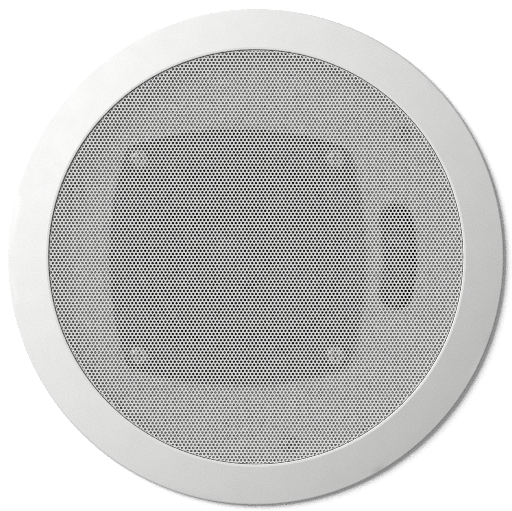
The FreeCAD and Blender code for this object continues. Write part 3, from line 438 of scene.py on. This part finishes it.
def thread(x, y):
    """The helical shank of a clamp screw."""
    height = np.arange(THREAD_START, THREAD_END, THREAD_PITCH / THREAD_ROWS)
    turn = np.arange(THREAD_SIDES) / THREAD_SIDES
    phase = (height[:, None] / THREAD_PITCH - turn[None, :]) % 1
    ridge = np.clip(THREAD_STEEPNESS * np.abs(2 * phase - 1) - THREAD_VALLEY, 0, 1)
    taper = np.clip((THREAD_END - height) / THREAD_PITCH, THREAD_TIP, 1)[:, None]
    radius = (THREAD_ROOT + (THREAD_CREST - THREAD_ROOT) * ridge) * taper
    points = np.stack([
        x + radius * np.cos(2 * math.pi * turn), y + radius * np.sin(2 * math.pi * turn),
        np.repeat(height[:, None], THREAD_SIDES, axis=1),
    ], axis=2).reshape(-1, 3)
    faces = []
    for row in range(len(height) - 1):
        for side in range(THREAD_SIDES):
            here, there = row * THREAD_SIDES + side, row * THREAD_SIDES + (side + 1) % THREAD_SIDES
            faces.append((here, there, there + THREAD_SIDES, here + THREAD_SIDES))
    last = (len(height) - 1) * THREAD_SIDES
    faces.append(tuple(range(last, last + THREAD_SIDES)))
    faces.append(tuple(reversed(range(THREAD_SIDES))))
    return new_mesh("thread", points, faces)


def taper_recesses(shape, node):
    """Narrow each screw's cross recess towards its floor, as the tip of a screwdriver does."""
    facing, height = SCREW_HEADS[node]
    front = max(facing * vertex.co.z for vertex in shape.verts)
    level = front - RECESS_DEPTH * height * MM
    screws = []
    for vertex in shape.verts:
        if abs(facing * vertex.co.z - level) < SAME_POINT * MM:
            for floor in screws:
                if (vertex.co - floor[0].co).length < HEAD_REACH * MM:
                    floor.append(vertex)
                    break
            else:
                screws.append([vertex])
    for floor in screws:
        axis = sum((vertex.co for vertex in floor), Vector()) / len(floor)
        axis.z -= facing * RECESS_POINT * height * MM
        for vertex in floor:
            narrow = axis + RECESS_TAPER * (vertex.co - axis)
            vertex.co = (narrow.x, narrow.y, axis.z)


def swap_shank(shape, node):
    """Cut a clamp screw's plain shank off below its head and put a threaded one there."""
    split = bmesh.ops.bisect_plane(shape, geom=shape.verts[:] + shape.edges[:] + shape.faces[:],
                                   plane_co=(0, 0, HEAD_END * MM), plane_no=(0, 0, 1), clear_outer=True)
    rim = [edge for edge in split["geom_cut"] if isinstance(edge, bmesh.types.BMEdge)]
    bmesh.ops.edgeloop_fill(shape, edges=rim)
    low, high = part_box(node)
    middle = (low + high) / 2 / MM
    shape.from_mesh(thread(middle.x, middle.y))


def make_screws():
    """Screws with tapered recesses, and real threads on the shanks of the clamp screws."""
    for node in SCREW_HEADS:
        shape = bmesh.new()
        shape.from_mesh(nodes[node].data)
        bmesh.ops.remove_doubles(shape, verts=shape.verts, dist=SAME_POINT * MM)
        taper_recesses(shape, node)
        threaded = node.startswith("clamp")
        if threaded:
            swap_shank(shape, node)
        mesh = bpy.data.meshes.new(node + "_cross")
        shape.to_mesh(mesh)
        shape.free()
        if "custom_normal" in mesh.attributes:
            mesh.attributes.remove(mesh.attributes["custom_normal"])
        smooth(mesh)
        stand_in(node + "_cross", mesh, node, node if threaded else "housing")


def make_flexible(node, fixed, moving, radial):
    """A still copy of a flexible part, in its finish, on no body."""
    piece = stand_in(node + "_flex", nodes[node].data.copy(), node, None)
    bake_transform(piece)


def stage_material():
    """A pale surface that is lit and shadowed on its face and clear from behind."""
    made = bpy.data.materials.new("stage")
    made.use_nodes = True
    tree = made.node_tree
    tree.nodes.clear()
    seen = add(tree, "ShaderNodeLightPath").outputs["Is Camera Ray"]
    lift = add(tree, "ShaderNodeMath", {0: seen, 1: STAGE_LIFT}, operation="MULTIPLY").outputs[0]
    glow = add(tree, "ShaderNodeEmission", {"Color": WHITE, "Strength": lift}).outputs[0]
    pale = add(tree, "ShaderNodeBsdfDiffuse", {"Color": WHITE}).outputs[0]
    face = add(tree, "ShaderNodeAddShader", {0: pale, 1: glow}).outputs[0]
    clear = add(tree, "ShaderNodeBsdfTransparent").outputs[0]
    behind = add(tree, "ShaderNodeNewGeometry").outputs["Backfacing"]
    both = add(tree, "ShaderNodeMixShader", {0: behind, 1: face, 2: clear}).outputs[0]
    add(tree, "ShaderNodeOutputMaterial", {"Surface": both})
    return made


def make_stage():
    """The ceiling board that the bezel lies against, and a floor for views from above."""
    pale = stage_material()
    board = lathe("ceiling_board", [(STAGE_REACH, 0.0), (BOARD_HOLE, 0.0)], STAGE_STEPS)
    floor = lathe("floor", [(FLOOR_MIDDLE, FLOOR_Z), (STAGE_REACH, FLOOR_Z)], STAGE_STEPS)
    for mesh in (board, floor):
        piece = bpy.data.objects.new(mesh.name, mesh)
        mesh.materials.append(pale)
        bpy.context.scene.collection.objects.link(piece)
        piece.visible_diffuse = False
        piece.visible_glossy = False
        piece.visible_transmission = False
        piece.visible_shadow = False


def make_sun(name, towards, strength, spread):
    """A soft lamp far away, in the direction given."""
    lamp = bpy.data.lights.new(name, "SUN")
    lamp.energy = strength
    lamp.angle = math.radians(spread)
    sun = bpy.data.objects.new(name, lamp)
    bpy.context.scene.collection.objects.link(sun)
    sun.rotation_euler = Vector(towards).to_track_quat("Z", "Y").to_euler()
    return sun


def keep_in_room(sun):
    """Leave the solids of VOID_SLOTS, above the ceiling board, out of a lamp's light."""
    room = bpy.data.collections.new("room_side")
    hidden = [node for name, node in nodes.items() if slot_of[name] in VOID_SLOTS]
    for piece in bpy.context.scene.objects:
        if piece.type == "MESH" and piece not in hidden:
            room.objects.link(piece)
    sun.light_linking.receiver_collection = room


def make_world():
    """Soft grey light from all round, with a white background."""
    world = bpy.data.worlds.new("studio")
    world.use_nodes = True
    tree = world.node_tree
    tree.nodes.clear()
    path = add(tree, "ShaderNodeLightPath")
    seen = path.outputs["Is Camera Ray"]
    for ray in ("Is Glossy Ray", "Is Transmission Ray"):
        seen = add(tree, "ShaderNodeMath", {0: seen, 1: path.outputs[ray]}, operation="MAXIMUM").outputs[0]
    light = add(tree, "ShaderNodeBackground", {"Color": WHITE, "Strength": AMBIENT}).outputs[0]
    white = add(tree, "ShaderNodeBackground", {"Color": WHITE, "Strength": 1.0}).outputs[0]
    both = add(tree, "ShaderNodeMixShader", {0: seen, 1: light, 2: white}).outputs[0]
    add(tree, "ShaderNodeOutputWorld", {"Surface": both})
    bpy.context.scene.world = world


def make_camera():
    """Square to the grille, looking up from the room, with the port to the right."""
    lens = bpy.data.cameras.new("camera")
    lens.sensor_width = SENSOR
    lens.lens = SENSOR * CAMERA_DISTANCE / VIEW_WIDTH
    camera = bpy.data.objects.new("camera", lens)
    bpy.context.scene.collection.objects.link(camera)
    camera.location = (0, -CAMERA_RISE * MM, -CAMERA_DISTANCE * MM)
    camera.rotation_euler = (math.pi, 0, 0)
    bpy.context.scene.camera = camera


for name, node in nodes.items():
    dress(node, slot_of[name])
make_grille()
make_screws()
make_flexible("surround", *SURROUND_BEND, radial=True)
make_flexible("spider", *SPIDER_BEND, radial=True)
make_flexible("tinsel_leads", *LEAD_BEND, radial=False)
make_stage()
keep_in_room(make_sun("key_sun", KEY_TOWARDS, KEY_STRENGTH, KEY_SPREAD))
make_sun("top_sun", TOP_TOWARDS, TOP_STRENGTH, TOP_SPREAD)
make_world()
make_camera()
bpy.context.scene.view_settings.view_transform = "Standard"
# The denoiser takes the perforation, a few pixels wide, for noise and wipes it out.
bpy.context.scene.cycles.use_denoising = False
# A narrow pixel filter keeps the holes, under three pixels wide, apart from the metal between them.
bpy.context.scene.cycles.filter_width = 1.0
